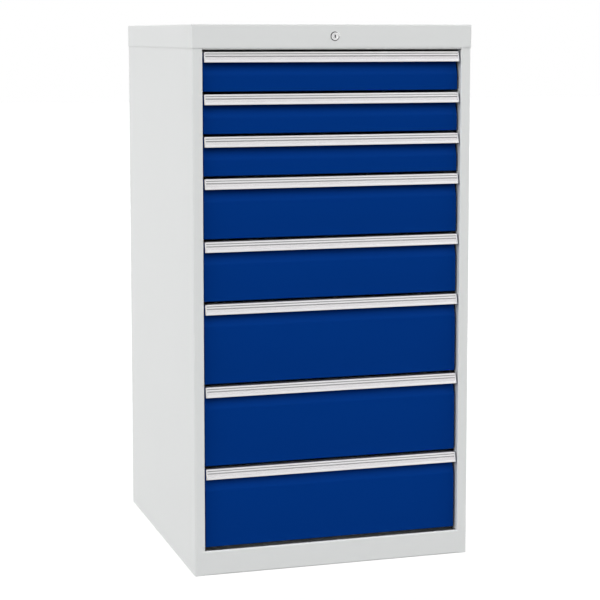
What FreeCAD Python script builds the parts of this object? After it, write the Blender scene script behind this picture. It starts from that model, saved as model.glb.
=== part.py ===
"""Floor-standing steel cabinet with eight telescopic drawers and a central lock.

X is the cabinet's width, Y its depth with the fronts facing -Y, and Z is up. The origin is on the floor at
the middle of the whole cabinet. Every length is in millimetres.
"""

import FreeCAD
import Part
import math
import os

os.makedirs("parts", exist_ok=True)

# Overall sizes
cover_width = 705.0
cover_depth = 736.0
base_height = 60.0
height_step = 50.0
drawer_height_shares = (2, 2, 2, 3, 3, 4, 4, 4)
head_height = 65.0

# Carcass
cover_overhang = 1.5
cover_plate = 1.2
cover_seat = 0.3
carcass_sheet = 1.0
frame_sheet = 2.0
bend_radius = 1.5
flange_width = 25.0
flange_return = 25.0
back_flange = 15.0
foot_flange = 80.0
deck_drop = 20.0
hem_width = 8.0
header_gap = 5.0
header_drop = 4.0
anchor_inset = 50.0
anchor_margin = 20.0
anchor_radius = 5.5
access_radius = 15.0

# Uprights and fixed rails
upright_width = 28.0
upright_depth = 14.0
upright_sheet = 1.5
upright_setback = 32.0
slot_height = 17.0
slot_width = 5.0
hook_height = 12.0
hook_sheet = 2.0
hook_nose = 4.0
hook_play = 0.3

# Drawers
runner_space = 24.8
rear_space = 102.6
drawer_sheet = 1.2
drawer_lift = 12.0
drawer_headroom = 13.0
rim_width = 5.0
divider_slot_width = 3.5
divider_slot_height = 16.0
divider_slot_drop = 8.0

# Telescopic runners
rail_sheet = 1.6
rail_gap = 0.4
rail_play = 2.0
rail_reach = 7.8
inner_rail_height = 26.0
rail_level = 30.0
rail_setback = 30.0

# Drawer fronts
front_gap = 4.5
front_sheet = 1.2
front_foot_gap = 6.0
face_recess = 12.0
finger_depth = 24.0
slope_height = 30.0
box_recess = 28.0

# Grip strips
grip_height = 24.5
grip_lean = 5.5
grip_proud = 0.5
grip_wall = 2.6
grip_web = 2.0
grip_leg_wall = 2.4
grip_leg_height = 18.0
grip_bead = 4.0
grip_bead_height = 3.5
groove_depth = 1.6
label_depth = 1.2
label_sheet = 0.3
label_cover_sheet = 0.6
strip_play = 0.2
cap_width = 3.0
groove_shares = (0.16, 0.245, 0.385, 0.49, 0.775)

# Lock
lock_drop = 28.5
lock_proud = 2.0
lock_rosette_proud = 1.0
lock_face_radius = 12.0
lock_ring_radius = 11.0
lock_ring_depth = 0.6
lock_boss_radius = 9.4
lock_body_radius = 9.0
lock_body_length = 26.0
lock_nut_radius = 13.0
lock_nut_width = 4.0
plug_radius = 6.0
plug_play = 0.05
plug_proud = 0.6
keyway_width = 3.0
keyway_height = 7.5
keyway_depth = 9.0
shaft_radius = 4.0
shaft_play = 0.3
crank_radius = 9.0
crank_sheet = 4.0
crank_boss_radius = 8.0
pin_radius = 3.0
pin_play = 0.5
crank_gap = 1.0
lock_bar_width = 20.0
lock_bar_sheet = 3.0
lock_bar_gap = 12.0
lock_bar_floor_gap = 0.3
lock_head_margin = 6.0
guide_play = 0.4
guide_sheet = 2.0
guide_width = 44.0
guide_flange = 25.0
guide_drop = 28.0
guide_setback = 6.0
tab_width = 22.0
tab_height = 14.0
tab_clearance = 2.0
catch_drop = 8.0
catch_play = 2.0
catch_sheet = 2.0
catch_width = 20.0
catch_foot = 14.0

overrun = 5.0

# Places that follow from the sizes
body_front = -(cover_depth + lock_proud) / 2 + lock_proud + cover_overhang
cover_front = body_front - cover_overhang
cover_back = cover_front + cover_depth
body_back = cover_back - cover_overhang
body_half = cover_width / 2 - cover_overhang
inside_half = body_half - carcass_sheet
opening_half = body_half - flange_width
plinth_half = opening_half + bend_radius + carcass_sheet
floor_level = base_height - deck_drop
opening_top = base_height + height_step * sum(drawer_height_shares)
cabinet_height = opening_top + head_height
panel_top = cabinet_height - cover_plate - cover_seat
header_bottom = opening_top + header_gap
skirt_bottom = header_bottom + header_drop
anchor_setback = foot_flange - anchor_margin

box_half = opening_half - runner_space
tray_half = box_half - drawer_sheet
drawer_inside_width = 2 * tray_half
box_front = body_front + box_recess
box_back = body_back - rear_space
drawer_inside_depth = box_back - box_front - 2 * drawer_sheet
front_half = opening_half - front_gap
rail_front = body_front + rail_setback
rail_length = drawer_inside_depth
inner_rail_face = box_half + rail_reach
middle_rail_face = inner_rail_face + rail_play + rail_sheet
fixed_rail_face = middle_rail_face + rail_gap + rail_sheet
middle_rail_height = inner_rail_height + 2 * (rail_gap + rail_sheet)
fixed_rail_height = middle_rail_height + 2 * (rail_gap + rail_sheet)
upright_face = inside_half - upright_depth
slot_pitch = height_step / 2

lock_level = cabinet_height - lock_drop
crank_reach = crank_radius / math.sqrt(2)
bar_lift = 2 * crank_reach
bar_front = box_back + lock_bar_gap
bar_back = bar_front + lock_bar_sheet
bar_half = lock_bar_width / 2
guide_front = box_back + guide_setback
catch_left = bar_half + catch_play


def drawer_spans():
    """Lowest and highest level of each drawer's space, from the top drawer down."""
    spans = []
    top = opening_top
    for share in drawer_height_shares:
        bottom = top - share * height_step
        spans.append((bottom, top))
        top = bottom
    return spans


def block(low, high):
    """Upright block between two opposite corners, each given as x, y, z."""
    corner = FreeCAD.Vector(*low)
    size = FreeCAD.Vector(*high) - corner
    return Part.makeBox(size.x, size.y, size.z, corner)


def mirrored(shape):
    """The same piece on the other side of the cabinet."""
    return shape.mirror(FreeCAD.Vector(0, 0, 0), FreeCAD.Vector(1, 0, 0))


def moved(shape, x, y, z):
    """A copy of a shape at another place."""
    copy = shape.copy()
    copy.translate(FreeCAD.Vector(x, y, z))
    return copy


def polygon_face(points):
    """Flat face with straight sides through 2-D points."""
    corners = [FreeCAD.Vector(u, v, 0) for u, v in points]
    return Part.Face(Part.makePolygon(corners + corners[:1]))


def rectangle(low_u, low_v, high_u, high_v):
    """Closed 2-D outline of a rectangle."""
    corners = [(low_u, low_v), (high_u, low_v), (high_u, high_v), (low_u, high_v)]
    points = [FreeCAD.Vector(u, v, 0) for u, v in corners]
    return Part.makePolygon(points + points[:1])


def holed_face(outline, holes):
    """Flat face of an outline with holes in it, all as 2-D wires."""
    return Part.makeFace([outline] + holes, "Part::FaceMakerBullseye")


def along_x(face, start, end):
    """Extrudes a face drawn in Y and Z from one X to another."""
    placed = face.copy()
    placed.Placement = FreeCAD.Placement(
        FreeCAD.Vector(start, 0, 0), FreeCAD.Rotation(FreeCAD.Vector(1, 1, 1), 120)
    )
    return placed.extrude(FreeCAD.Vector(end - start, 0, 0))


def along_y(face, start, end):
    """Extrudes a face drawn in X and Z from one Y to another."""
    placed = face.copy()
    placed.Placement = FreeCAD.Placement(
        FreeCAD.Vector(0, start, 0), FreeCAD.Rotation(FreeCAD.Vector(1, 0, 0), 90)
    )
    return placed.extrude(FreeCAD.Vector(0, end - start, 0))


def along_z(face, start, end):
    """Extrudes a face drawn in X and Y from one level to another."""
    return moved(face, 0, 0, start).extrude(FreeCAD.Vector(0, 0, end - start))


def round_bar(radius, x, z, start, end):
    """Round bar along Y."""
    return Part.makeCylinder(radius, end - start, FreeCAD.Vector(x, start, z), FreeCAD.Vector(0, 1, 0))


def offset_line(points, distance):
    """An open line of points moved sideways, to the left of its direction."""
    normals = []
    for start, end in zip(points, points[1:]):
        run = (end - start).normalize()
        normals.append(FreeCAD.Vector(-run.y, run.x, 0))
    result = []
    for point, before, after in zip(points, normals[:1] + normals, normals + normals[-1:]):
        middle = before + after
        result.append(point + middle * (2 * distance / middle.dot(middle)))
    return result


def rounded_edges(points, radii):
    """Edges along an open line of points, with an arc of the given radius at each inner one."""
    edges = []
    start = points[0]
    for before, corner, after, radius in zip(points, points[1:], points[2:], radii):
        if radius == 0:
            edges.append(Part.LineSegment(start, corner).toShape())
            start = corner
            continue
        backwards = (before - corner).normalize()
        forwards = (after - corner).normalize()
        half_turn = (math.pi - backwards.getAngle(forwards)) / 2
        first = corner + backwards * (radius * math.tan(half_turn))
        last = corner + forwards * (radius * math.tan(half_turn))
        middle = corner + (backwards + forwards).normalize() * (radius / math.cos(half_turn) - radius)
        edges.append(Part.LineSegment(start, first).toShape())
        edges.append(Part.Arc(first, middle, last).toShape())
        start = last
    edges.append(Part.LineSegment(start, points[-1]).toShape())
    return edges


def sheet_face(points, thickness, bend=0):
    """Section of a bent sheet: a line of points and its copy to the left, with bends of an inside radius."""
    base = [FreeCAD.Vector(u, v, 0) for u, v in points]
    other = offset_line(base, thickness)
    base_radii = []
    other_radii = []
    for before, corner, after in zip(base, base[1:], base[2:]):
        turns_left = (corner - before).cross(after - corner).z > 0
        wide = bend + thickness if bend else 0
        base_radii.append(wide if turns_left else bend)
        other_radii.append(bend if turns_left else wide)
    edges = rounded_edges(base, base_radii)
    edges.append(Part.LineSegment(base[-1], other[-1]).toShape())
    edges += rounded_edges(other[::-1], other_radii[::-1])
    edges.append(Part.LineSegment(other[0], base[0]).toShape())
    return Part.Face(Part.Wire(edges))


def export(name, solids):
    """Writes one node as one STEP file of separate solids."""
    shape = solids[0] if len(solids) == 1 else Part.makeCompound(solids)
    shape.exportStep(f"parts/{name}.step")


def side_panel():
    """Right side: the panel, its front flange and, above the plinth, the return behind the flange."""
    outline = [
        (opening_half, body_front + flange_return),
        (opening_half, body_front),
        (body_half, body_front),
        (body_half, body_back),
    ]
    folded = along_z(sheet_face(outline, carcass_sheet, bend_radius), 0, panel_top)
    plinth_notch = block(
        (opening_half - overrun, body_front - overrun, -overrun),
        (plinth_half, body_front + flange_return + overrun, base_height),
    )
    return folded.cut(plinth_notch)


def back_panel():
    """Back sheet with its two side flanges inside the side panels."""
    outline = [
        (inside_half, body_back - back_flange),
        (inside_half, body_back),
        (-inside_half, body_back),
        (-inside_half, body_back - back_flange),
    ]
    return along_z(sheet_face(outline, carcass_sheet, bend_radius), 0, panel_top)


def base_frame():
    """Folded base: plinth rail with its hemmed top, lowered deck, rear rail and two flanges on the floor."""
    rear = body_back - carcass_sheet
    outline = [
        (rear - foot_flange, 0),
        (rear, 0),
        (rear, floor_level),
        (body_front + hem_width, floor_level),
        (body_front + hem_width, base_height),
        (body_front, base_height),
        (body_front, 0),
        (body_front + foot_flange, 0),
    ]
    folded = along_x(sheet_face(outline, frame_sheet, bend_radius), -inside_half, inside_half)
    flange_pocket = block(
        (plinth_half, body_front - overrun, -overrun),
        (inside_half + overrun, body_front + bend_radius + carcass_sheet, base_height + overrun),
    )
    back_pocket = block(
        (inside_half - carcass_sheet - bend_radius, rear + carcass_sheet - back_flange, -overrun),
        (inside_half + overrun, body_back + overrun, base_height + overrun),
    )
    cuts = [flange_pocket, mirrored(flange_pocket), back_pocket, mirrored(back_pocket)]
    for x, y in anchor_places():
        hole = Part.makeCylinder(anchor_radius, base_height / 2, FreeCAD.Vector(x, y, -overrun))
        access = Part.makeCylinder(access_radius, base_height, FreeCAD.Vector(x, y, base_height / 2))
        cuts += [hole, access]
    return folded.cut(cuts)


def anchor_places():
    """Centres of the four floor anchor holes."""
    x = body_half - anchor_inset
    front = body_front + anchor_setback
    rear = body_back - anchor_setback
    return [(-x, front), (x, front), (-x, rear), (x, rear)]


def header_rail():
    """Folded rail across the top of the opening, with the lock's hole."""
    outline = [
        (body_front, panel_top),
        (body_front, header_bottom),
        (body_front + flange_return, header_bottom),
    ]
    folded = along_x(sheet_face(outline, carcass_sheet, bend_radius), -opening_half, opening_half)
    return folded.cut(lock_hole())


def top_cover():
    """Inverted tray over the carcass, with the head fascia as its front skirt."""
    outer = block(
        (-cover_width / 2, cover_front, skirt_bottom), (cover_width / 2, cover_back, cabinet_height)
    )
    wide = bend_radius + carcass_sheet
    edges = [edge for edge in outer.Edges if edge.CenterOfMass.z > skirt_bottom + wide]
    outer = outer.makeFillet(wide, edges)
    inner = block(
        (-cover_width / 2 + carcass_sheet, cover_front + carcass_sheet, skirt_bottom - overrun),
        (cover_width / 2 - carcass_sheet, cover_back - carcass_sheet, cabinet_height - cover_plate),
    )
    edges = [edge for edge in inner.Edges if edge.CenterOfMass.z > skirt_bottom + wide]
    inner = inner.makeFillet(bend_radius, edges)
    return outer.cut(inner).cut(lock_hole())


def upright():
    """Front right slotted post, open towards the side panel."""
    front = body_front + upright_setback
    middle = front + upright_width / 2
    slots = []
    level = base_height + slot_level() % slot_pitch
    while level + slot_height < header_bottom:
        slots.append(rectangle(middle - slot_width / 2, level, middle + slot_width / 2, level + slot_height))
        level += slot_pitch
    outline = rectangle(front, floor_level, front + upright_width, header_bottom)
    web = along_x(holed_face(outline, slots), upright_face, upright_face + upright_sheet)
    legs = []
    for edge in (front, front + upright_width - upright_sheet):
        legs.append(
            block(
                (upright_face + upright_sheet, edge, floor_level),
                (inside_half, edge + upright_sheet, header_bottom),
            )
        )
    return web.fuse(legs)


def slot_level():
    """Height of a rail's slot above the bottom of its drawer's space."""
    return drawer_lift + rail_level - hook_height / 2


def upright_rear_shift():
    """Distance from a front upright to the one behind it."""
    return rail_length - 2 * (upright_setback - rail_setback) - upright_width


def fixed_rail(level):
    """Right fixed rail member at a level, with its hooks in the front and rear uprights."""
    half = fixed_rail_height / 2
    tip = box_half + rail_sheet + 2 * rail_play
    outline = [
        (tip, level - half),
        (fixed_rail_face, level - half),
        (fixed_rail_face, level + half),
        (tip, level + half),
    ]
    rail = along_y(sheet_face(outline, rail_sheet), rail_front, rail_front + rail_length)
    seat = upright_face + upright_sheet
    low = level - hook_height / 2
    nose_start = seat + hook_play
    nose_end = nose_start + hook_sheet
    hook = polygon_face(
        [
            (fixed_rail_face, low),
            (nose_start, low),
            (nose_start, low - hook_nose),
            (nose_end, low - hook_nose),
            (nose_end, low + hook_height),
            (fixed_rail_face, low + hook_height),
        ]
    )
    first = body_front + upright_setback + upright_width / 2 - hook_sheet / 2
    hooks = []
    for place in (first, first + upright_rear_shift()):
        hooks.append(along_y(hook, place, place + hook_sheet))
    return rail.fuse(hooks).removeSplitter()


def middle_rail(level):
    """Right middle member of a runner, inside the fixed one."""
    half = middle_rail_height / 2
    tip = box_half + rail_sheet + rail_play
    outline = [
        (tip, level - half),
        (middle_rail_face, level - half),
        (middle_rail_face, level + half),
        (tip, level + half),
    ]
    return along_y(sheet_face(outline, rail_sheet), rail_front, rail_front + rail_length)


def drawer_rail(level):
    """Right rail member on the drawer's side, inside the middle one."""
    half = inner_rail_height / 2
    outline = [
        (inner_rail_face, level + half),
        (box_half, level + half),
        (box_half, level - half),
        (inner_rail_face, level - half),
    ]
    return along_y(sheet_face(outline, rail_sheet), rail_front, rail_front + rail_length)


def slotted_wall(start, length, bottom, rim):
    """Face of a drawer wall with its rows of divider slots, drawn along the wall and upwards."""
    slots = []
    low = rim - divider_slot_drop - divider_slot_height
    lowest = drawer_lift + rail_level + fixed_rail_height / 2 - divider_slot_height
    steps = round(length / slot_pitch)
    while low > lowest:
        for step in range(1, steps):
            middle = start + length / 2 + (step - steps / 2) * slot_pitch
            edge = middle - divider_slot_width / 2
            slots.append(rectangle(edge, low, edge + divider_slot_width, low + divider_slot_height))
        low -= height_step
    return holed_face(rectangle(start, bottom, start + length, rim), slots)


def drawer_box(top):
    """Tray of three sheets: the floor folded up into both sides with outward rims, and the two end walls."""
    rim = top - drawer_headroom
    floor_top = drawer_lift + drawer_sheet
    side = slotted_wall(box_front, box_back - box_front, drawer_lift, rim)
    right = along_x(side, tray_half, box_half)
    right_rim = block((box_half, box_front, rim - drawer_sheet), (box_half + rim_width, box_back, rim))
    floor = block((-tray_half, box_front, drawer_lift), (tray_half, box_back, floor_top))
    channel = floor.fuse([right, mirrored(right), right_rim, mirrored(right_rim)])
    end = slotted_wall(-tray_half, drawer_inside_width, floor_top, rim)
    front_wall = along_y(end, box_front, box_front + drawer_sheet)
    back_wall = along_y(end, box_back - drawer_sheet, box_back)
    return [channel, front_wall, back_wall]


def rear_catch(top):
    """Hooked catch on the drawer's back, which the lock bar's tab stands in front of."""
    high = top - drawer_headroom - catch_drop
    lip = bar_back + catch_play
    low = high - catch_sheet - bar_lift - tab_clearance
    section = polygon_face(
        [
            (box_back, high - catch_foot),
            (box_back + catch_sheet, high - catch_foot),
            (box_back + catch_sheet, high - catch_sheet),
            (lip, high - catch_sheet),
            (lip, low),
            (lip + catch_sheet, low),
            (lip + catch_sheet, high),
            (box_back, high),
        ]
    )
    return along_x(section, catch_left, catch_left + catch_width)


def drawer_front(top):
    """Blue front: web behind the grip, skin that slopes forward from it to a flat face, and two cheeks."""
    low = front_foot_gap
    shoulder = top - grip_height
    back = body_front + box_recess
    line = [
        (body_front + finger_depth, top - grip_web),
        (body_front + finger_depth, shoulder),
        (body_front + face_recess, shoulder - slope_height),
        (body_front + face_recess, low),
        (back, low),
    ]
    folded = along_x(sheet_face(line, front_sheet, bend_radius), -front_half, front_half)
    above = block((-front_half, body_front, shoulder), (front_half, back + overrun, top))
    base = [FreeCAD.Vector(u, v, 0) for u, v in line]
    inner = [(point.x, point.y) for point in offset_line(base, front_sheet)]
    cheek_top = top - grip_web - grip_leg_height
    cheek = polygon_face(
        [(inner[0][0], cheek_top)] + inner[1:-1] + [(back, inner[-1][1]), (back, cheek_top)]
    )
    right = along_x(cheek, front_half - front_sheet, front_half).cut(folded)
    return [folded.cut(above), folded.common(above), right, mirrored(right)]


def grip_point(top, share, outwards):
    """Point of the grip's section, by its share of the leaning face and its distance out from that face."""
    run = FreeCAD.Vector(-(grip_lean + grip_proud), -grip_height, 0)
    normal = FreeCAD.Vector(run.y, -run.x, 0).normalize()
    place = FreeCAD.Vector(body_front + grip_lean, top, 0) + run * share + normal * outwards
    return (place.x, place.y)


def grip_profile(top):
    """Aluminium extrusion: grooved leaning face with its bead, top web and the leg behind the front."""
    face_length = math.hypot(grip_lean + grip_proud, grip_height)
    bead_share = 1 - grip_bead_height / face_length
    first, second, third, fourth, fifth = groove_shares
    leg_front = body_front + finger_depth + front_sheet
    leg_back = leg_front + grip_leg_wall
    underside = top - grip_web
    head = FreeCAD.Vector(*grip_point(top, 0, -grip_wall), 0)
    foot = FreeCAD.Vector(*grip_point(top, bead_share, -grip_wall), 0)
    inner_corner = head + (foot - head) * ((head.y - underside) / (head.y - foot.y))
    points = [
        grip_point(top, 0, 0),
        grip_point(top, first, 0),
        grip_point(top, first, -groove_depth),
        grip_point(top, second, -groove_depth),
        grip_point(top, second, 0),
        grip_point(top, third, 0),
        grip_point(top, third, -groove_depth),
        grip_point(top, fourth, -groove_depth),
        grip_point(top, fourth, -label_depth),
        grip_point(top, fifth, -label_depth),
        grip_point(top, fifth, 0),
        grip_point(top, 1, 0),
        grip_point(top, 1, -grip_bead),
        grip_point(top, bead_share, -grip_bead),
        grip_point(top, bead_share, -grip_wall),
        (inner_corner.x, inner_corner.y),
        (leg_front, underside),
        (leg_front, underside - grip_leg_height),
        (leg_back, underside - grip_leg_height),
        (leg_back, top),
    ]
    return along_x(polygon_face(points), -front_half + cap_width, front_half - cap_width)


def grip_cap(top):
    """Right end cap on the extrusion's leaning face."""
    corners = ((0, 0), (1, 0), (1, -grip_bead), (0, -grip_bead))
    cap = polygon_face([grip_point(top, share, outwards) for share, outwards in corners])
    return along_x(cap, front_half - cap_width, front_half)


def label_strip(top, low, high):
    """Flat strip in the grip's label channel, between two depths behind its face."""
    face_length = math.hypot(grip_lean + grip_proud, grip_height)
    upper = groove_shares[3] + strip_play / face_length
    lower = groove_shares[4] - strip_play / face_length
    section = polygon_face(
        [
            grip_point(top, upper, -low),
            grip_point(top, lower, -low),
            grip_point(top, lower, -high),
            grip_point(top, upper, -high),
        ]
    )
    return along_x(section, -front_half + cap_width, front_half - cap_width)


def label_pieces(top):
    """Label strip on the channel's floor, and the clear cover on it."""
    middle = label_depth - label_sheet
    return [label_strip(top, label_depth, middle), label_strip(top, middle, middle - label_cover_sheet)]


def lock_hole():
    """Cut for the lock's body through the fascia and the header rail."""
    end = body_front + lock_body_length / 2
    return round_bar(lock_body_radius, 0, lock_level, cover_front - overrun, end)


def lock_housing():
    """Lock body with its boss, the ring groove round it and the rosette, and the nut behind the rail."""
    front = cover_front - lock_proud
    rosette_front = cover_front - lock_rosette_proud
    rosette = round_bar(lock_face_radius, 0, lock_level, rosette_front, cover_front)
    rim = [edge for edge in rosette.Edges if edge.CenterOfMass.y < rosette_front + lock_rosette_proud / 4]
    rosette = rosette.makeChamfer(lock_rosette_proud / 2, rim)
    ring_back = rosette_front + lock_ring_depth
    ring = round_bar(lock_ring_radius, 0, lock_level, rosette_front - overrun, ring_back)
    boss = round_bar(lock_boss_radius, 0, lock_level, front, cover_front)
    body = round_bar(lock_body_radius, 0, lock_level, ring_back, front + lock_body_length)
    bore_end = front + lock_body_length + overrun
    bore = round_bar(plug_radius + plug_play, 0, lock_level, front - overrun, bore_end)
    housing = rosette.cut(ring).fuse([boss, body]).cut(bore)
    nut_back = body_front + carcass_sheet + lock_nut_width
    nut = round_bar(lock_nut_radius, 0, lock_level, body_front + carcass_sheet, nut_back)
    nut = nut.cut(round_bar(lock_body_radius, 0, lock_level, body_front, nut_back + overrun))
    return [housing, nut]


def lock_plug():
    """Turning plug with its upright keyway."""
    front = cover_front - lock_proud
    plug = round_bar(plug_radius, 0, lock_level, front, front + lock_body_length + plug_proud)
    keyway = block(
        (-keyway_width / 2, front - overrun, lock_level - keyway_height / 2),
        (keyway_width / 2, front + keyway_depth, lock_level + keyway_height / 2),
    )
    return plug.cut(keyway)


def lock_shaft():
    """Shaft from the plug to the rear, with the crank and its pin."""
    start = cover_front - lock_proud + lock_body_length + plug_proud
    crank_back = bar_front - crank_gap
    crank_front = crank_back - crank_sheet
    shaft = round_bar(shaft_radius, 0, lock_level, start, crank_back)
    arm = round_bar(crank_boss_radius, 0, lock_level, crank_front, crank_back)
    tip = round_bar(crank_boss_radius / 2, -crank_reach, lock_level - crank_reach, crank_front, crank_back)
    pin = round_bar(
        pin_radius, -crank_reach, lock_level - crank_reach, crank_front, bar_back + lock_bar_sheet
    )
    return shaft.fuse([arm, tip, pin]).removeSplitter()


def tab_levels():
    """Top of each of the lock bar's tabs with the bar down."""
    levels = []
    for _, top in drawer_spans():
        catch_low = top - drawer_headroom - catch_drop - catch_sheet - bar_lift - tab_clearance
        levels.append(catch_low - tab_clearance)
    return levels


def lock_bar():
    """Flat bar behind the drawers with its slotted head, and one tab welded beside it for each drawer."""
    slot_level_rest = lock_level - crank_reach
    slot_half = pin_radius + pin_play
    head_bottom = slot_level_rest - slot_half - lock_head_margin
    head_top = slot_level_rest + slot_half + lock_head_margin
    head_half = crank_radius + slot_half + lock_head_margin / 2
    bar = block(
        (-bar_half, bar_front, floor_level + lock_bar_floor_gap), (bar_half, bar_back, head_top)
    )
    head = block((-head_half, bar_front, head_bottom), (bar_half, bar_back, head_top))
    tabs = []
    for level in tab_levels():
        tabs.append(
            block((bar_half, bar_front, level - tab_height), (bar_half + tab_width, bar_back, level))
        )
    slot = block(
        (-crank_radius - slot_half, bar_front - overrun, slot_level_rest - slot_half),
        (-crank_reach + slot_half, bar_back + overrun, slot_level_rest + slot_half),
    )
    return [bar.fuse(head).removeSplitter().cut(slot)] + tabs


def guide_bracket(level, front):
    """Bracket from the back panel with a window for the lock bar, and a flange on the panel."""
    wall = body_back - carcass_sheet
    half = guide_width / 2
    plate = block((-half, front, level - guide_sheet), (half, wall, level))
    flange = block((-half, wall - guide_sheet, level - guide_flange), (half, wall, level))
    window = block(
        (-bar_half - guide_play, bar_front - guide_play, level - guide_flange),
        (bar_half + guide_play, bar_back + guide_play, level + overrun),
    )
    return plate.cut(window).fuse(flange).removeSplitter()


def lock_bar_guides():
    """Two plain guides, and the top one that also carries the shaft's rear end."""
    spans = drawer_spans()
    lowest = spans[-1]
    middle = spans[len(spans) // 2 + 1]
    guides = []
    for bottom, top in (lowest, middle):
        guides.append(guide_bracket((bottom + top) / 2, guide_front))
    level = lock_level - guide_drop
    front = guide_front - guide_drop
    hanger = guide_bracket(level, front)
    upturn = block(
        (-guide_width / 2, front, level - guide_sheet),
        (guide_width / 2, front + guide_sheet, lock_level + crank_boss_radius),
    )
    bore_end = front + guide_sheet + overrun
    bearing = round_bar(shaft_radius + shaft_play, 0, lock_level, front - overrun, bore_end)
    guides.append(hanger.fuse(upturn).removeSplitter().cut(bearing))
    return guides


def build_carcass():
    """The fixed sheet-steel pieces."""
    right = side_panel()
    export("side_panel_right", [right])
    export("side_panel_left", [mirrored(right)])
    export("back_panel", [back_panel()])
    export("base_frame", [base_frame()])
    export("header_rail", [header_rail()])
    export("top_cover", [top_cover()])


def build_uprights_and_rails():
    """Slotted posts, and the fixed rail members that hang in them."""
    front_post = upright()
    rear_post = moved(front_post, 0, upright_rear_shift(), 0)
    export("slotted_uprights", [front_post, rear_post, mirrored(front_post), mirrored(rear_post)])
    rails = []
    for bottom, _ in drawer_spans():
        right = fixed_rail(bottom + drawer_lift + rail_level)
        rails += [right, mirrored(right)]
    export("cabinet_rails", rails)


def drawer_pieces(height):
    """A drawer's pieces, by the end of their names. Its space is as high as given and starts at the floor."""
    runner = drawer_rail(drawer_lift + rail_level)
    middle = middle_rail(drawer_lift + rail_level)
    cap = grip_cap(height)
    return {
        "box": drawer_box(height) + [rear_catch(height)],
        "front": drawer_front(height),
        "grip": [grip_profile(height), cap, mirrored(cap)],
        "label": label_pieces(height),
        "runners": [runner, mirrored(runner)],
        "mid_rails": [middle, mirrored(middle)],
    }


def build_drawers():
    """All eight drawers, each lifted from the pattern of its height."""
    patterns = {share: drawer_pieces(share * height_step) for share in set(drawer_height_shares)}
    for number, (share, span) in enumerate(zip(drawer_height_shares, drawer_spans()), start=1):
        for kind, solids in patterns[share].items():
            export(f"drawer_{number}_{kind}", [moved(solid, 0, 0, span[0]) for solid in solids])


def build_lock():
    """The lock, its shaft and crank, the lock bar and its guides."""
    export("lock_housing", lock_housing())
    export("lock_plug", [lock_plug(), lock_shaft()])
    export("lock_bar", lock_bar())
    export("lock_bar_guides", lock_bar_guides())


build_carcass()
build_uprights_and_rails()
build_drawers()
build_lock()
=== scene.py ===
"""Looks of a floor-standing steel drawer cabinet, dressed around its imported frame.

Every length is in metres. The cabinet faces -Y and stands on the floor at Z zero. Its folded sheet steel
keeps the frame's meshes and gets its paint here. The drawer fronts, grip strips, end caps, labels and the
lock's face are modelled again with their true folds and edge radii, each at the place that the frame gives.
A rate is how many times a pattern repeats in a metre, and a detail is how fine its smallest parts are.
"""

import logging
import math
from dataclasses import dataclass
from enum import Enum
from typing import Sequence

import bmesh
import bpy
from bmesh.types import BMesh
from mathutils import Euler, Matrix, Vector


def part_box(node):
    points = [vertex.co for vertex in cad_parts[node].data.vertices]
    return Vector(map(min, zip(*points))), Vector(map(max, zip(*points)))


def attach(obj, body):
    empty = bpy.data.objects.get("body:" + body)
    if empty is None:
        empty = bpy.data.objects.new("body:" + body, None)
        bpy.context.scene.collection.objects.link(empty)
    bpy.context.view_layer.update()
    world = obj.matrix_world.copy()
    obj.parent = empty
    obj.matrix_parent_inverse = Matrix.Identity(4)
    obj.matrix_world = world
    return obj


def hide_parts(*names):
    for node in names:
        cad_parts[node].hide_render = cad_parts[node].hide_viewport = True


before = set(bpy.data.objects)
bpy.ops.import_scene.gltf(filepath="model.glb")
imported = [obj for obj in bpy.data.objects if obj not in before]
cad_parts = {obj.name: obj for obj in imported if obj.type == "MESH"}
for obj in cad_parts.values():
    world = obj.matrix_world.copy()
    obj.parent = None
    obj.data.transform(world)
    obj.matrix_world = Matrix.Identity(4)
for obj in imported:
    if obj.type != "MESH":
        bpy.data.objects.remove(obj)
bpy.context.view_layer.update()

LOG = logging.getLogger("cabinet")
DRAWER_COUNT = 8

QUARTER_TURN = math.pi / 2
MERGE_DISTANCE = 0.00001
ROUND_PROFILE = 0.5
SMOOTH_ANGLE = 40.0  # in degrees
ALONG_X = 0.999  # least share of an edge's length along X, where it counts as running that way
FACING_X = 0.5  # least X of a face's normal, where it counts as looking that way

Point = tuple[float, float]
Colour = tuple[float, float, float]


class Side(Enum):
    """The cabinet's two sides, by the sign of X."""

    LEFT = -1
    RIGHT = 1


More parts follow.
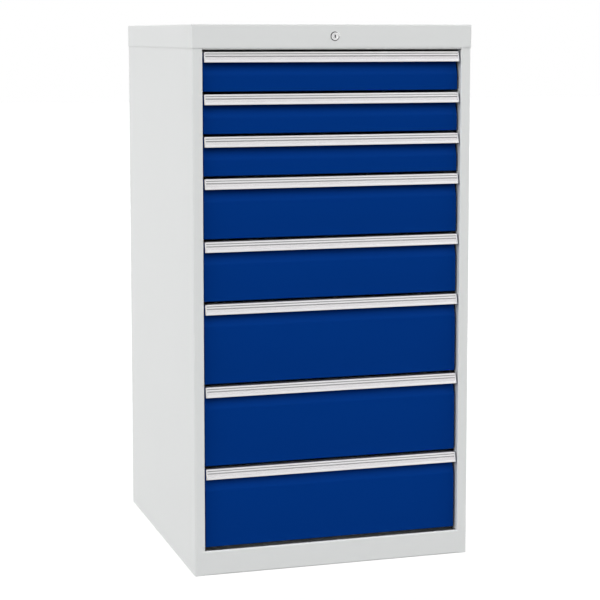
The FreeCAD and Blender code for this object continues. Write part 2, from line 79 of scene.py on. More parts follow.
class Tree:
    """Adds and joins the nodes of one material or world."""

    def __init__(self, tree: bpy.types.NodeTree) -> None:
        """Starts from an empty tree.

        Args:
            tree: The node tree to fill.
        """
        self.nodes = tree.nodes
        self.links = tree.links
        self.nodes.clear()

    def add(
        self, kind: str, inputs: dict[str | int, object] | None = None, **settings: object
    ) -> bpy.types.Node:
        """Adds a node.

        Args:
            kind: The node's type.
            inputs: What goes into its sockets, by their names or numbers: an output socket or a plain value.
            **settings: The node's own options.

        Returns:
            The new node.
        """
        node = self.nodes.new(kind)
        for name, value in settings.items():
            setattr(node, name, value)
        for name, value in (inputs or {}).items():
            self.put(node.inputs[name], value)
        return node

    def put(self, socket: bpy.types.NodeSocket, value: object) -> None:
        """Links an output to a socket, or sets the socket's plain value.

        Args:
            socket: The input to feed.
            value: An output socket or a plain value.
        """
        if isinstance(value, bpy.types.NodeSocket):
            self.links.new(value, socket)
        else:
            socket.default_value = value

    def place(self, scale: Sequence[float] = (1, 1, 1)) -> bpy.types.NodeSocket:
        """Object coordinates in metres, scaled for a pattern.

        Args:
            scale: How many times a pattern repeats in a metre along X, Y and Z.

        Returns:
            The scaled coordinates.
        """
        coordinates = self.add("ShaderNodeTexCoord").outputs["Object"]
        return self.add("ShaderNodeMapping", {"Vector": coordinates, "Scale": scale}).outputs["Vector"]

    def noise(self, place: bpy.types.NodeSocket, detail: float, scale: float = 1.0) -> bpy.types.NodeSocket:
        """Soft random pattern from 0 to 1."""
        inputs = {"Vector": place, "Scale": scale, "Detail": detail}
        return self.add("ShaderNodeTexNoise", inputs).outputs["Fac"]

    def between(self, value: bpy.types.NodeSocket, low: float, high: float) -> bpy.types.NodeSocket:
        """A pattern from 0 to 1, brought between two numbers."""
        inputs = {"Value": value, "To Min": low, "To Max": high}
        return self.add("ShaderNodeMapRange", inputs).outputs["Result"]

    def around(self, value: bpy.types.NodeSocket, middle: float, spread: float) -> bpy.types.NodeSocket:
        """A pattern from 0 to 1, brought to a spread on both sides of a number."""
        return self.between(value, middle - spread, middle + spread)

    def tones(
        self, value: bpy.types.NodeSocket, colour: Colour, darkest: float, lightest: float
    ) -> bpy.types.NodeSocket:
        """A pattern from 0 to 1, as darker and lighter tones of a colour.

        Args:
            value: The pattern.
            colour: The colour.
            darkest: What the colour is multiplied by where the pattern is 0.
            lightest: What the colour is multiplied by where the pattern is 1.

        Returns:
            The toned colour.
        """
        mix = self.add("ShaderNodeMix", data_type="RGBA")
        self.put(mix.inputs["Factor"], value)
        self.put(mix.inputs["A"], (*shade(colour, darkest), 1.0))
        self.put(mix.inputs["B"], (*shade(colour, lightest), 1.0))
        return mix.outputs["Result"]

    def relief(self, height: bpy.types.NodeSocket, depth: float) -> bpy.types.NodeSocket:
        """A pattern from 0 to 1, as fine relief for a shader's normal."""
        inputs = {"Height": height, "Distance": depth, "Strength": 1.0}
        return self.add("ShaderNodeBump", inputs).outputs["Normal"]


def shade(colour: Colour, factor: float) -> Colour:
    """A lighter or darker colour of the same hue."""
    return tuple(min(1.0, channel * factor) for channel in colour)


def grey(level: float) -> tuple[float, float, float, float]:
    """A grey, as a shader's four channels."""
    return (level, level, level, 1.0)


@dataclass(frozen=True)
class PowderCoat:
    """Baked powder paint: even colour, a fine orange peel and a soft gloss."""

    name: str
    colour: Colour
    roughness: float
    specular: float
    drift: float = 0.012
    drift_size: float = 0.35
    drift_detail: float = 3.0
    peel_size: float = 0.0022
    peel_detail: float = 2.0
    peel_depth: float = 0.000012
    gloss_spread: float = 0.03

    def build(self) -> bpy.types.Material:
        """Makes the paint.

        Returns:
            The finished material.
        """
        material, tree, shader = new_material(self.name)
        place = tree.place()
        cloud = tree.noise(place, self.drift_detail, 1 / self.drift_size)
        fleck = tree.noise(place, self.peel_detail, 1 / self.peel_size)
        colour = tree.tones(cloud, self.colour, 1 - self.drift, 1 + self.drift)
        tree.put(shader.inputs["Base Color"], colour)
        tree.put(shader.inputs["Roughness"], tree.around(fleck, self.roughness, self.gloss_spread))
        tree.put(shader.inputs["Normal"], tree.relief(fleck, self.peel_depth))
        shader.inputs["Specular IOR Level"].default_value = self.specular
        return material


@dataclass(frozen=True)
class DrawnAluminium:
    """Anodised extrusion with fine drawing lines along X."""

    name: str
    colour: Colour
    roughness: float
    line_size: float = 0.0006
    line_length: float = 0.35
    line_detail: float = 3.0
    line_depth: float = 0.000004
    drift: float = 0.04
    drift_rate: float = 9.0
    drift_detail: float = 2.0
    gloss_spread: float = 0.08

    def build(self) -> bpy.types.Material:
        """Makes the aluminium.

        Returns:
            The finished material.
        """
        material, tree, shader = new_material(self.name)
        across = 1 / self.line_size
        lines = tree.noise(tree.place((1 / self.line_length, across, across)), self.line_detail)
        cloud = tree.noise(tree.place(), self.drift_detail, self.drift_rate)
        mixed = tree.add("ShaderNodeMath", {0: lines, 1: cloud}, operation="MULTIPLY").outputs[0]
        colour = tree.tones(mixed, self.colour, 1 - self.drift, 1 + self.drift)
        tree.put(shader.inputs["Base Color"], colour)
        tree.put(shader.inputs["Roughness"], tree.around(lines, self.roughness, self.gloss_spread))
        tree.put(shader.inputs["Normal"], tree.relief(lines, self.line_depth))
        shader.inputs["Metallic"].default_value = 1.0
        return material


@dataclass(frozen=True)
class PlatedSteel:
    """Bright zinc on rolled steel, with faint crystals and rolling lines along Y."""

    name: str
    colour: Colour
    roughness: float = 0.38
    gloss_spread: float = 0.08
    crystal_size: float = 0.006
    darkest: float = 0.9
    lightest: float = 1.06
    line_size: float = 0.0012
    line_length: float = 0.2
    line_detail: float = 2.0
    line_depth: float = 0.000006

    def build(self) -> bpy.types.Material:
        """Makes the plating.

        Returns:
            The finished material.
        """
        material, tree, shader = new_material(self.name)
        inputs = {"Vector": tree.place(), "Scale": 1 / self.crystal_size}
        cells = tree.add("ShaderNodeTexVoronoi", inputs).outputs["Color"]
        crystals = tree.add("ShaderNodeRGBToBW", {"Color": cells}).outputs["Val"]
        across = 1 / self.line_size
        lines = tree.noise(tree.place((across, 1 / self.line_length, across)), self.line_detail)
        colour = tree.tones(crystals, self.colour, self.darkest, self.lightest)
        tree.put(shader.inputs["Base Color"], colour)
        tree.put(shader.inputs["Roughness"], tree.around(crystals, self.roughness, self.gloss_spread))
        tree.put(shader.inputs["Normal"], tree.relief(lines, self.line_depth))
        shader.inputs["Metallic"].default_value = 1.0
        return material


@dataclass(frozen=True)
class Chrome:
    """Polished plating with a faint haze."""

    name: str
    colour: Colour
    smoothest: float = 0.11
    dullest: float = 0.23
    darkest: float = 0.93
    haze_rate: float = 700.0
    haze_detail: float = 3.0

    def build(self) -> bpy.types.Material:
        """Makes the plating.

        Returns:
            The finished material.
        """
        material, tree, shader = new_material(self.name)
        haze = tree.noise(tree.place(), self.haze_detail, self.haze_rate)
        tree.put(shader.inputs["Base Color"], tree.tones(haze, self.colour, self.darkest, 1.0))
        tree.put(shader.inputs["Roughness"], tree.between(haze, self.smoothest, self.dullest))
        shader.inputs["Metallic"].default_value = 1.0
        return material


@dataclass(frozen=True)
class Paper:
    """Matt card with a little fibre."""

    name: str
    colour: Colour
    smoothest: float = 0.7
    dullest: float = 0.9
    specular: float = 0.2
    darkest: float = 0.96
    lightest: float = 1.03
    fibre_rates: tuple[float, float, float] = (300.0, 900.0, 900.0)
    fibre_detail: float = 4.0
    fibre_depth: float = 0.00001

    def build(self) -> bpy.types.Material:
        """Makes the card.

        Returns:
            The finished material.
        """
        material, tree, shader = new_material(self.name)
        fibre = tree.noise(tree.place(self.fibre_rates), self.fibre_detail)
        colour = tree.tones(fibre, self.colour, self.darkest, self.lightest)
        tree.put(shader.inputs["Base Color"], colour)
        tree.put(shader.inputs["Roughness"], tree.between(fibre, self.smoothest, self.dullest))
        tree.put(shader.inputs["Normal"], tree.relief(fibre, self.fibre_depth))
        shader.inputs["Specular IOR Level"].default_value = self.specular
        return material


@dataclass(frozen=True)
class ClearPlastic:
    """Thin clear cover, whose gloss ripples slightly along X."""

    name: str
    colour: Colour
    opacity: float = 0.04
    refraction: float = 1.46
    smoothest: float = 0.04
    dullest: float = 0.12
    ripple_length: float = 0.08
    ripple_rate: float = 60.0
    ripple_detail: float = 1.0

    def build(self) -> bpy.types.Material:
        """Makes the plastic.

        Returns:
            The finished material.
        """
        material, tree, shader = new_material(self.name)
        across = self.ripple_rate
        ripple = tree.noise(tree.place((1 / self.ripple_length, across, across)), self.ripple_detail)
        tree.put(shader.inputs["Roughness"], tree.between(ripple, self.smoothest, self.dullest))
        shader.inputs["Base Color"].default_value = (*self.colour, 1.0)
        shader.inputs["Alpha"].default_value = self.opacity
        shader.inputs["IOR"].default_value = self.refraction
        return material


def new_material(name: str) -> tuple[bpy.types.Material, Tree, bpy.types.Node]:
    """Starts a material.

    Args:
        name: The material's name.

    Returns:
        The material, its tree and its shader.
    """
    material = bpy.data.materials.new(name)
    material.use_nodes = True
    tree = Tree(material.node_tree)
    shader = tree.add("ShaderNodeBsdfPrincipled")
    tree.add("ShaderNodeOutputMaterial", {"Surface": shader.outputs["BSDF"]})
    return material, tree, shader


class Finish(Enum):
    """Every finish on the cabinet."""

    GREY_PAINT = PowderCoat("light_grey_powder_coat", (0.662, 0.674, 0.670), roughness=0.36, specular=0.6)
    BLUE_PAINT = PowderCoat(
        "deep_blue_powder_coat", (0.0003, 0.031, 0.200), roughness=0.34, specular=0.02, drift=0.03
    )
    TRAY_PAINT = PowderCoat("pale_grey_tray_paint", (0.610, 0.622, 0.620), roughness=0.5, specular=0.25)
    # Near-black paint, painted shade: it darkens the lock's ring groove and keyway where they lie in shadow.
    LOCK_PAINTED_SHADE = PowderCoat("lock_painted_shade", (0.008, 0.008, 0.009), roughness=0.6, specular=0.1, drift=0.1)
    GRIP_ALUMINIUM = DrawnAluminium("drawn_aluminium", (0.70, 0.695, 0.70), roughness=0.4)
    # Darker, duller aluminium for the groove faces: its darkness is painted shade in the grooves, its
    # roughness a matt finish.
    GROOVE_SHADE_ALUMINIUM = DrawnAluminium("matt_groove_aluminium", (0.34, 0.335, 0.34), roughness=0.6)
    END_CAP = DrawnAluminium("end_cap_aluminium", (0.56, 0.56, 0.57), roughness=0.5)
    LABEL_CARD = Paper("label_card", (0.66, 0.643, 0.653))
    LABEL_COVER = ClearPlastic("clear_label_cover", (0.97, 0.97, 0.98))
    ZINC = PlatedSteel("zinc_plated_steel", (0.66, 0.68, 0.70))
    CHROME = Chrome("lock_chrome", (0.93, 0.93, 0.94))

    @property
    def material(self) -> bpy.types.Material:
        """The finish's material, made the first time that it is asked for."""
        found = bpy.data.materials.get(self.value.name)
        return found if found is not None else self.value.build()


def dress(node: str, finish: Finish) -> None:
    """Gives a node of the frame its finish, with the mesh left as it is.

    Args:
        node: The node's name.
        finish: Its finish.
    """
    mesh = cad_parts[node].data
    mesh.materials.clear()
    mesh.materials.append(finish.material)
    LOG.info("%s: %s", node, finish.value.name)


def bevel(bm: BMesh, edges: Sequence[bmesh.types.BMEdge], width: float, segments: int) -> None:
    """Rounds edges.

    Args:
        bm: The shape that holds them.
        edges: The edges to round.
        width: How far from the edge the round starts, on each side.
        segments: The number of strips that make the round.
    """
    bmesh.ops.bevel(
        bm,
        geom=list(edges),
        offset=width,
        offset_type="OFFSET",
        segments=segments,
        profile=ROUND_PROFILE,
        affect="EDGES",
        clamp_overlap=True,
        material=-1,
    )


def add_piece(
    name: str, bm: BMesh, finish: Finish, body: str, smooth_angle: float = SMOOTH_ANGLE
) -> bpy.types.Object:
    """Makes a finished piece from a bmesh, which it frees, and puts it on its body.

    Args:
        name: The piece's name.
        bm: Its shape, in the frame's own place.
        finish: Its finish.
        body: The body that it moves with.
        smooth_angle: Edges that turn less than this many degrees shade smoothly.

    Returns:
        The new object.
    """
    mesh = bpy.data.meshes.new(name)
    bm.to_mesh(mesh)
    bm.free()
    mesh.shade_smooth()
    mesh.set_sharp_from_angle(angle=math.radians(smooth_angle))
    mesh.materials.append(finish.material)
    piece = bpy.data.objects.new(name, mesh)
    bpy.context.scene.collection.objects.link(piece)
    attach(piece, body)
    LOG.info("%s: %d faces, on %s", name, len(mesh.polygons), body)
    return piece


def section_bar(points: Sequence[Point], start: float, end: float) -> BMesh:
    """Solid bar along X.

    Args:
        points: Its closed section, as Y and Z.
        start: The X where it starts.
        end: The X where it ends.

    Returns:
        The bar, with its faces pointing outwards.
    """
    bm = bmesh.new()
    corners = [bm.verts.new((start, y, z)) for y, z in points]
    face = bm.faces.new(corners)
    grown = bmesh.ops.extrude_face_region(bm, geom=[face])["geom"]
    moved = [item for item in grown if isinstance(item, bmesh.types.BMVert)]
    bmesh.ops.translate(bm, verts=moved, vec=(end - start, 0, 0))
    bmesh.ops.recalc_face_normals(bm, faces=bm.faces)
    return bm


def edges_along_x(bm: BMesh) -> list[bmesh.types.BMEdge]:
    """Finds the edges that run along X.

    Args:
        bm: The shape to look through.

    Returns:
        The edges.
    """
    found = []
    for edge in bm.edges:
        run = edge.verts[1].co - edge.verts[0].co
        if abs(run.x) > ALONG_X * run.length:
            found.append(edge)
    return found


@dataclass
class DrawerFront:
    """One drawer's blue front, with its grip strip, end caps and label.

    The groove shares are places down the grip's leaning face, from 0 at its top to 1 at its foot: the edges
    of the two grooves and, from the fourth to the fifth, the label's channel. The least fold is in radians.
    """

    number: int
    sheet: float = 0.0012
    fold: float = 0.0027
    fold_steps: int = 4
    least_fold: float = 0.01
    face_recess: float = 0.012
    finger_depth: float = 0.024
    slope_height: float = 0.030
    grip_height: float = 0.0245
    grip_lean: float = 0.0055
    grip_proud: float = 0.0005
    grip_wall: float = 0.0026
    web: float = 0.002
    leg_wall: float = 0.0024
    leg_height: float = 0.018
    bead: float = 0.004
    bead_height: float = 0.0035
    groove_depth: float = 0.0016
    label_depth: float = 0.0012
    edge_round: float = 0.0007
    edge_steps: int = 3
    groove_round: float = 0.0003
    groove_steps: int = 2
    smooth_angle: float = 50.0
    cap_width: float = 0.003
    cap_round: float = 0.0008
    card: float = 0.0003
    cover: float = 0.0006
    cover_play: float = 0.0003
    cover_gap: float = 0.00005
    cover_steps: int = 6
    groove_shares: tuple[float, ...] = (0.16, 0.245, 0.385, 0.49, 0.775)

    def __post_init__(self) -> None:
        """Takes the places from the frame."""
        self.body = f"drawer_{self.number}"
        front_low, front_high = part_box(f"drawer_{self.number}_front")
        grip_low, grip_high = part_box(f"drawer_{self.number}_grip")
        self.left = front_low.x
        self.right = front_high.x
        self.bottom = front_low.z
        self.back = front_high.y
        self.top = grip_high.z
        self.plane = grip_low.y + self.grip_proud
        self.lean_run = Vector((-(self.grip_lean + self.grip_proud), -self.grip_height))
        self.outwards = Vector((self.lean_run.y, -self.lean_run.x)).normalized()

    def grip_point(self, share: float, out: float) -> Point:
        """Point of the grip's section.

        Args:
            share: How far down the leaning face it is, from 0 to 1.
            out: How far it stands out from that face.

        Returns:
            Its Y and Z.
        """
        head = Vector((self.plane + self.grip_lean, self.top))
        return tuple(head + self.lean_run * share + self.outwards * out)

    def build_skin(self) -> None:
        """The folded blue front, with its closed ends."""
        shoulder = self.top - self.grip_height
        cheek_top = self.top - self.web - self.leg_height
        finger = self.plane + self.finger_depth
        face = self.plane + self.face_recess
        outline = [
            (finger, self.top - self.web),
            (finger, cheek_top),
            (finger, shoulder),
            (face, shoulder - self.slope_height),
            (face, self.bottom),
            (self.back, self.bottom),
        ]
        bm = bmesh.new()
        line = [bm.verts.new((self.left, y, z)) for y, z in outline]
        edges = [bm.edges.new(pair) for pair in zip(line, line[1:])]
        grown = bmesh.ops.extrude_edge_only(bm, edges=edges)["geom"]
        other = [item for item in grown if isinstance(item, bmesh.types.BMVert)]
        bmesh.ops.translate(bm, verts=other, vec=(self.right - self.left, 0, 0))
        bm.verts.ensure_lookup_table()
        for x in (self.left, self.right):
            ring = [self.nearest(bm, (x, y, z)) for y, z in outline[1:]]
            bm.faces.new(ring + [bm.verts.new((x, self.back, cheek_top))])
        bmesh.ops.recalc_face_normals(bm, faces=bm.faces)
        if sum(face.normal.y for face in bm.faces) > 0:
            bmesh.ops.reverse_faces(bm, faces=bm.faces)
        inner = [edge for edge in bm.edges if len(edge.link_faces) == 2]
        folds = [edge for edge in inner if edge.calc_face_angle() > self.least_fold]
        bevel(bm, folds, self.fold, self.fold_steps)
        piece = add_piece(f"drawer_{self.number}_front_skin", bm, Finish.BLUE_PAINT, self.body)
        wall = piece.modifiers.new("sheet", "SOLIDIFY")
        wall.thickness = self.sheet
        wall.offset = -1.0
        wall.use_even_offset = True
        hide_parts(f"drawer_{self.number}_front")

    @staticmethod
    def nearest(bm: BMesh, place: tuple[float, float, float]) -> bmesh.types.BMVert:
        """The vertex at a place."""
        return min(bm.verts, key=lambda vertex: (vertex.co - Vector(place)).length)

    def grip_section(self) -> list[Point]:
        """Section of the extrusion: grooved leaning face, bead, top web and the leg behind the front.

        Returns:
            Its corners, as Y and Z.
        """
        bead_share = 1 - self.bead_height / self.lean_run.length
        first, second, third, fourth, fifth = self.groove_shares
        leg_front = self.plane + self.finger_depth + self.sheet
        leg_back = leg_front + self.leg_wall
        underside = self.top - self.web
        head = Vector(self.grip_point(0, -self.grip_wall))
        foot = Vector(self.grip_point(bead_share, -self.grip_wall))
        inner = head + (foot - head) * ((head.y - underside) / (head.y - foot.y))
        return [
            self.grip_point(0, 0),
            self.grip_point(first, 0),
            self.grip_point(first, -self.groove_depth),
            self.grip_point(second, -self.groove_depth),
            self.grip_point(second, 0),
            self.grip_point(third, 0),
            self.grip_point(third, -self.groove_depth),
            self.grip_point(fourth, -self.groove_depth),
            self.grip_point(fourth, -self.label_depth),
            self.grip_point(fifth, -self.label_depth),
            self.grip_point(fifth, 0),
            self.grip_point(1, 0),
            self.grip_point(1, -self.bead),
            self.grip_point(bead_share, -self.bead),
            self.grip_point(bead_share, -self.grip_wall),
            tuple(inner),
            (leg_front, underside),
            (leg_front, underside - self.leg_height),
            (leg_back, underside - self.leg_height),
            (leg_back, self.top),
        ]

    def build_grip(self) -> None:
        """The aluminium extrusion and its two end caps."""
        bm = section_bar(self.grip_section(), self.left + self.cap_width, self.right - self.cap_width)
        self.paint_groove_shade(bm)
        outer = [Vector(self.grip_point(share, out)) for share, out in ((0, 0), (1, 0), (1, -self.bead))]
        broad = []
        fine = []
        for edge in edges_along_x(bm):
            place = Vector(edge.verts[0].co.yz)
            is_outer = min((place - corner).length for corner in outer) < self.groove_round
            (broad if is_outer else fine).append(edge)
        bevel(bm, broad, self.edge_round, self.edge_steps)
        bevel(bm, [edge for edge in fine if edge.is_valid], self.groove_round, self.groove_steps)
        name = f"drawer_{self.number}_grip_strip"
        piece = add_piece(name, bm, Finish.GRIP_ALUMINIUM, self.body, self.smooth_angle)
        # Second material: painted shade on the faces inside the two grooves.
        piece.data.materials.append(Finish.GROOVE_SHADE_ALUMINIUM.material)
        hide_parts(f"drawer_{self.number}_grip")
        for side in Side:
            self.build_cap(side)

    def paint_groove_shade(self, bm: BMesh) -> None:
        """Gives the faces inside the two grooves the strip's second material, a darker aluminium that paints
        the grooves' shade.

        Args:
            bm: The extrusion, before its edges are rounded.
        """
        first, second, third, fourth = self.groove_shares[:4]
        head = Vector(self.grip_point(0, 0))
        run = self.lean_run.normalized()
        for face in bm.faces:
            middle = Vector(face.calc_center_median().yz) - head
            share = middle.dot(run) / self.lean_run.length
            depth = -middle.dot(self.outwards)
            in_groove = first <= share <= second or third <= share <= fourth
            is_end = abs(face.normal.x) >= FACING_X
            if in_groove and 0 < depth <= self.groove_depth + MERGE_DISTANCE and not is_end:
                face.material_index = 1

    def build_cap(self, side: Side) -> None:
        """One end cap, with rounded edges.

        Args:
            side: The end that it closes.
        """
        corners = ((0, 0), (1, 0), (1, -self.bead), (0, -self.bead))
        section = [self.grip_point(share, out) for share, out in corners]
        start = self.left if side is Side.LEFT else self.right - self.cap_width
        bm = section_bar(section, start, start + self.cap_width)
        bevel(bm, bm.edges[:], self.cap_round, self.edge_steps)
        add_piece(f"drawer_{self.number}_end_cap_{side.name.lower()}", bm, Finish.END_CAP, self.body)

    def build_label(self) -> None:
        """The card strip in the grip's channel, and the bowed clear cover over it."""
        fourth, fifth = self.groove_shares[3:]
        play = self.cover_play / self.lean_run.length
        low, high = fourth + play, fifth - play
        start = self.left + self.cap_width
        end = self.right - self.cap_width
        floor = -self.label_depth
        card_face = floor + self.card
        corners = ((low, floor), (high, floor), (high, card_face), (low, card_face))
        card = section_bar([self.grip_point(share, out) for share, out in corners], start, end)
        piece = add_piece(f"drawer_{self.number}_label_card", card, Finish.LABEL_CARD, self.body)
        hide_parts(f"drawer_{self.number}_label")
        bow = []
        for step in range(self.cover_steps + 1):
            share = low + (high - low) * step / self.cover_steps
            rise = math.sin(math.pi * step / self.cover_steps) * self.cover / 2
            bow.append(self.grip_point(share, card_face + self.cover / 2 + rise))
        foot = [self.grip_point(share, card_face + self.cover_gap) for share in (high, low)]
        bm = section_bar(bow + foot, start, end)
        add_piece(f"drawer_{self.number}_label_cover", bm, Finish.LABEL_COVER, self.body)

    def build(self) -> None:
        """Makes every piece of the front."""
        self.build_skin()
        self.build_grip()
        self.build_label()


@dataclass
class Drawer:
    """One drawer: its tray and runners from the frame, and its front."""

    number: int

    def build(self) -> None:
        """Dresses the tray and runners, and builds the front."""
        dress(f"drawer_{self.number}_box", Finish.TRAY_PAINT)
        dress(f"drawer_{self.number}_runners", Finish.ZINC)
        dress(f"drawer_{self.number}_mid_rails", Finish.ZINC)
        dress(f"drawer_{self.number}_front", Finish.BLUE_PAINT)
        dress(f"drawer_{self.number}_grip", Finish.GRIP_ALUMINIUM)
        dress(f"drawer_{self.number}_label", Finish.LABEL_CARD)
        DrawerFront(self.number).build()


@dataclass
class Carcass:
    """The fixed sheet-steel case with its posts and rails."""

    painted: tuple[str, ...] = (
        "side_panel_left",
        "side_panel_right",
        "back_panel",
        "top_cover",
        "base_frame",
        "header_rail",
    )
    plated: tuple[str, ...] = ("slotted_uprights", "cabinet_rails", "lock_bar_guides")

    def build(self) -> None:
        """Paints the case and plates what is inside it."""
        for node in self.painted:
            dress(node, Finish.GREY_PAINT)
        for node in self.plated:
            dress(node, Finish.ZINC)


@dataclass
class Lock:
    """The cylinder lock in the fascia, with its bar behind the drawers.

    The round's middle is how deep the middle of an edge round lies below each of the two faces that it joins,
    as a share of its width.
    """

    proud: float = 0.002
    rosette: float = 0.001
    rosette_radius: float = 0.012
    ring_radius: float = 0.011
    ring_depth: float = 0.0006
    # Thickness of the dark ring of painted shade in the groove.
    shade_ring_thickness: float = 0.0004
    boss_radius: float = 0.0094
    barrel_radius: float = 0.009
    bore_radius: float = 0.00605
    edge_round: float = 0.0005
    round_middle: float = 0.3
    round_steps: int = 2
    smooth_angle: float = 30.0
    keyway_width: float = 0.003
    keyway_height: float = 0.0075
    keyway_depth: float = 0.009
    keyway_wall: float = 0.0002
    turns: int = 72
    rail_sheet: float = 0.001
    nut_flats: int = 6
    nut_radius: float = 0.013
    nut_width: float = 0.004
    thread_play: float = 0.0002

    def turned(self, profile: Sequence[Point], centre: Vector) -> BMesh:
        """A closed profile turned round the lock's axis.

        Args:
            profile: Its points, as radius and Y.
            centre: A point on the axis.

        Returns:
            The turned shape, with its faces pointing outwards.
        """
        bm = bmesh.new()
        ring = [bm.verts.new((centre.x + radius, y, centre.z)) for radius, y in profile]
        edges = [bm.edges.new(pair) for pair in zip(ring, ring[1:] + ring[:1])]
        bmesh.ops.spin(
            bm,
            geom=ring + edges,
            cent=(centre.x, 0, centre.z),
            axis=(0, 1, 0),
            angle=math.tau,
            steps=self.turns,
            use_merge=True,
        )
        bmesh.ops.remove_doubles(bm, verts=bm.verts, dist=MERGE_DISTANCE)
        bmesh.ops.recalc_face_normals(bm, faces=bm.faces)
        return bm

    def build_face(self) -> None:
        """The housing with its boss, ring groove and rosette, a dark ring of painted shade in the groove, and
        the nut.
        """
        low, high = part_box("lock_housing")
        centre = (low + high) / 2
        front = low.y
        seat = front + self.proud
        rosette = seat - self.rosette
        ring = rosette + self.ring_depth
        small = self.edge_round / 2
        middle = self.round_middle * self.edge_round
        profile = [
            (self.bore_radius, high.y),
            (self.bore_radius, front + small),
            (self.bore_radius + small, front),
            (self.boss_radius - self.edge_round, front),
            (self.boss_radius - middle, front + middle),
            (self.boss_radius, front + self.edge_round),
            (self.boss_radius, ring),
            (self.ring_radius, ring),
            (self.ring_radius, rosette + small),
            (self.ring_radius + small, rosette),
            (self.rosette_radius - self.edge_round, rosette),
            (self.rosette_radius - middle, rosette + middle),
            (self.rosette_radius, rosette + self.edge_round),
            (self.rosette_radius, seat),
            (self.barrel_radius, seat),
            (self.barrel_radius, high.y),
        ]
        shape = self.turned(profile, centre)
        face = add_piece("lock_face", shape, Finish.CHROME, "carcass", self.smooth_angle)
        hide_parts("lock_housing")
        # A dark ring in the groove, painted shade round the boss.
        shade_ring = [
            (self.boss_radius, ring - self.shade_ring_thickness),
            (self.ring_radius, ring - self.shade_ring_thickness),
            (self.ring_radius, ring),
            (self.boss_radius, ring),
        ]
        shape = self.turned(shade_ring, centre)
        add_piece("lock_shade_ring", shape, Finish.LOCK_PAINTED_SHADE, "carcass", self.smooth_angle)
        self.build_keyway_shade(centre, front)
        self.build_nut(centre)

    def build_keyway_shade(self, centre: Vector, front: float) -> None:
        """A dark lining in the plug's keyway, painted shade for its shadowed inside.

        Args:
            centre: A point on the lock's axis.
            front: The Y of the plug's face.
        """
        bm = bmesh.new()
        bmesh.ops.create_grid(bm, x_segments=1, y_segments=1, size=1)
        bmesh.ops.scale(bm, verts=bm.verts, vec=(self.keyway_width / 2, self.keyway_height / 2, 1))
        mouth = bm.edges[:]
        grown = bmesh.ops.extrude_edge_only(bm, edges=mouth)["geom"]
        rim = [item for item in grown if isinstance(item, bmesh.types.BMVert)]
        bmesh.ops.translate(bm, verts=rim, vec=(0, 0, self.keyway_depth - self.keyway_wall))
        bmesh.ops.rotate(bm, verts=bm.verts, matrix=Matrix.Rotation(QUARTER_TURN, 3, "X"))
        bmesh.ops.translate(bm, verts=bm.verts, vec=(centre.x, front + self.keyway_depth, centre.z))
        bmesh.ops.recalc_face_normals(bm, faces=bm.faces)
        if bm.faces[0].normal.y > 0:
            bmesh.ops.reverse_faces(bm, faces=bm.faces)
        # Near-black lining: painted shade inside the keyway.
        keyway_shade = add_piece("lock_keyway_shade", bm, Finish.LOCK_PAINTED_SHADE, "lock_plug", self.smooth_angle)
        wall = keyway_shade.modifiers.new("wall", "SOLIDIFY")
        wall.thickness = self.keyway_wall
        wall.offset = 1.0
        wall.use_even_offset = True

    def build_nut(self, centre: Vector) -> None:
        """The six-sided nut that holds the lock behind the header rail.

        Args:
            centre: A point on the lock's axis.
        """
        rail_low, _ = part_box("header_rail")
        start = rail_low.y + self.rail_sheet
        bm = bmesh.new()
        bmesh.ops.create_circle(bm, cap_ends=False, segments=self.nut_flats, radius=self.nut_radius)
        rim = bm.edges[:]
        grown = bmesh.ops.extrude_edge_only(bm, edges=rim)["geom"]
        inner = [item for item in grown if isinstance(item, bmesh.types.BMVert)]
        flat_radius = self.nut_radius * math.cos(math.pi / self.nut_flats)
        share = (self.barrel_radius + self.thread_play) / flat_radius
        bmesh.ops.scale(bm, verts=inner, vec=(share, share, 1))
        grown = bmesh.ops.extrude_face_region(bm, geom=bm.faces[:])["geom"]
        far = [item for item in grown if isinstance(item, bmesh.types.BMVert)]
        bmesh.ops.translate(bm, verts=far, vec=(0, 0, self.nut_width))
        bmesh.ops.rotate(bm, verts=bm.verts, matrix=Matrix.Rotation(-QUARTER_TURN, 3, "X"))
        bmesh.ops.translate(bm, verts=bm.verts, vec=(centre.x, start, centre.z))
        bmesh.ops.recalc_face_normals(bm, faces=bm.faces)
        bevel(bm, bm.edges[:], self.edge_round / 2, self.round_steps)
        add_piece("lock_nut", bm, Finish.ZINC, "carcass", self.smooth_angle)

    def build(self) -> None:
        """Dresses the lock's nodes and makes its face, its painted-shade ring and keyway lining, and its nut.
        """
        dress("lock_housing", Finish.CHROME)
        dress("lock_plug", Finish.CHROME)
        dress("lock_bar", Finish.ZINC)
        self.build_face()


@dataclass(frozen=True)
class Lamp:
    """One broad, distant lamp.

    Its azimuth is in degrees round from the cabinet's front, towards its left side, and its height in degrees
    above the floor. Its strength is its light on a surface that faces it, and glossy surfaces show it where
    it is mirrored. Its breadth is the angle that it fills, in degrees.
    """

    name: str
    azimuth: float
    height: float
    strength: float
    mirrored: bool
    breadth: float = 55.0

    def build(self) -> None:
        """Makes the lamp."""
        data = bpy.data.lights.new(self.name, "SUN")
        data.energy = self.strength
        data.angle = math.radians(self.breadth)
        lamp = bpy.data.objects.new(self.name, data)
        lamp.visible_glossy = self.mirrored
        lamp.rotation_euler = Euler((math.radians(90 - self.height), 0, math.radians(-self.azimuth)))
        bpy.context.scene.collection.objects.link(lamp)
        LOG.info("%s: strength %.2f", self.name, self.strength)


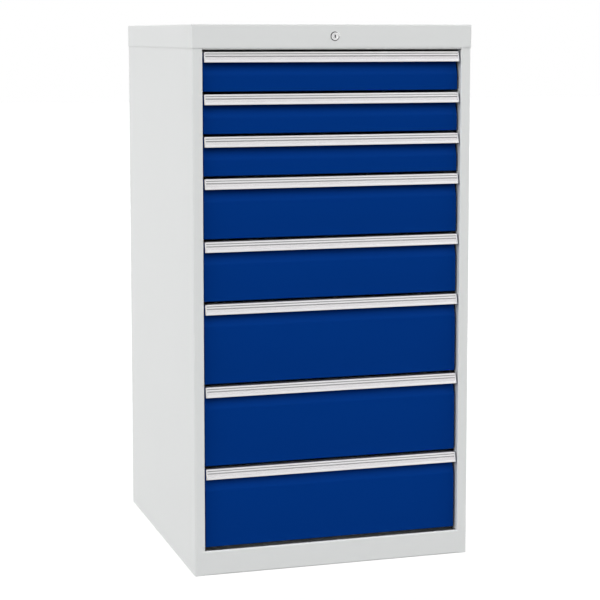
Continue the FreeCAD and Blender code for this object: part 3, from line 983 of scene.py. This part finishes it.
@dataclass
class Studio:
    """Pale floor, plain soft light and the camera."""

    camera_place: tuple[float, float, float] = (-1.3351, -4.4393, 1.2966)
    camera_pitch: float = 5.999
    camera_yaw: float = 17.0335
    lens: float = 106.887
    sensor: float = 36.0
    shift_up: float = -0.1277
    floor_size: float = 30.0
    floor_level: float = 0.9
    floor_glow: float = 1.2
    floor_glow_share: float = 0.5
    floor_return: float = 0.1
    ambient: float = 0.08
    lamps: tuple[Lamp, ...] = (
        Lamp("key_lamp", azimuth=0.0, height=30.0, strength=1.68, mirrored=False),
        Lamp("left_lamp", azimuth=75.0, height=20.0, strength=2.62, mirrored=True),
        Lamp("right_lamp", azimuth=-75.0, height=20.0, strength=2.42, mirrored=True),
        Lamp("back_lamp", azimuth=180.0, height=20.0, strength=2.61, mirrored=False),
    )

    def build_camera(self) -> None:
        """The camera, at the photograph's viewing angle."""
        data = bpy.data.cameras.new("camera")
        data.lens = self.lens
        data.sensor_width = self.sensor
        data.shift_y = self.shift_up
        data.clip_end = 2 * self.floor_size
        camera = bpy.data.objects.new("camera", data)
        camera.location = self.camera_place
        turn = (math.radians(90 - self.camera_pitch), 0, math.radians(-self.camera_yaw))
        camera.rotation_euler = Euler(turn)
        bpy.context.scene.collection.objects.link(camera)
        bpy.context.scene.camera = camera

    @staticmethod
    def seen_rays(tree: Tree) -> bpy.types.NodeSocket:
        """One for the rays that show a background, and zero for the others.

        Args:
            tree: The tree that asks.

        Returns:
            One for camera, glossy and transmission rays.
        """
        rays = tree.add("ShaderNodeLightPath").outputs
        inputs = {0: rays["Is Camera Ray"], 1: rays["Is Glossy Ray"]}
        either = tree.add("ShaderNodeMath", inputs, operation="MAXIMUM").outputs[0]
        inputs = {0: either, 1: rays["Is Transmission Ray"]}
        return tree.add("ShaderNodeMath", inputs, operation="MAXIMUM").outputs[0]

    def build_world(self) -> None:
        """White to the eye, and a softer level as light."""
        world = bpy.data.worlds.new("studio")
        world.use_nodes = True
        tree = Tree(world.node_tree)
        level = tree.between(self.seen_rays(tree), self.ambient, 1.0)
        sky = tree.add("ShaderNodeBackground", {"Color": grey(1.0), "Strength": level})
        tree.add("ShaderNodeOutputWorld", {"Surface": sky.outputs["Background"]})
        bpy.context.scene.world = world

    def floor_material(self) -> bpy.types.Material:
        """White to the eye with the cabinet's shadow on it, and darker to the light that it throws back.

        Returns:
            The finished material.
        """
        material = bpy.data.materials.new("pale_floor")
        material.use_nodes = True
        tree = Tree(material.node_tree)
        pale = tree.add("ShaderNodeBsdfDiffuse", {"Color": grey(self.floor_level)}).outputs[0]
        glow = tree.add("ShaderNodeEmission", {"Color": grey(1.0), "Strength": self.floor_glow}).outputs[0]
        inputs = {"Fac": self.floor_glow_share, 1: pale, 2: glow}
        seen = tree.add("ShaderNodeMixShader", inputs).outputs[0]
        dim = tree.add("ShaderNodeBsdfDiffuse", {"Color": grey(self.floor_return)}).outputs[0]
        inputs = {"Fac": self.seen_rays(tree), 1: dim, 2: seen}
        both = tree.add("ShaderNodeMixShader", inputs).outputs[0]
        tree.add("ShaderNodeOutputMaterial", {"Surface": both})
        return material

    def build_floor(self) -> None:
        """White floor that keeps the cabinet's shadow and throws little light back."""
        bm = bmesh.new()
        bmesh.ops.create_grid(bm, x_segments=1, y_segments=1, size=self.floor_size)
        mesh = bpy.data.meshes.new("floor")
        bm.to_mesh(mesh)
        bm.free()
        mesh.materials.append(self.floor_material())
        floor = bpy.data.objects.new("floor", mesh)
        bpy.context.scene.collection.objects.link(floor)

    def build(self) -> None:
        """Makes the floor, the light and the camera."""
        bpy.context.scene.view_settings.view_transform = "Standard"
        self.build_world()
        self.build_floor()
        for lamp in self.lamps:
            lamp.build()
        self.build_camera()


def main() -> None:
    """Builds the studio and the cabinet, sub-assembly by sub-assembly."""
    logging.basicConfig(level=logging.INFO, format="%(message)s")
    Studio().build()
    Carcass().build()
    for number in range(1, DRAWER_COUNT + 1):
        Drawer(number).build()
    Lock().build()


if __name__ == "__main__":
    main()
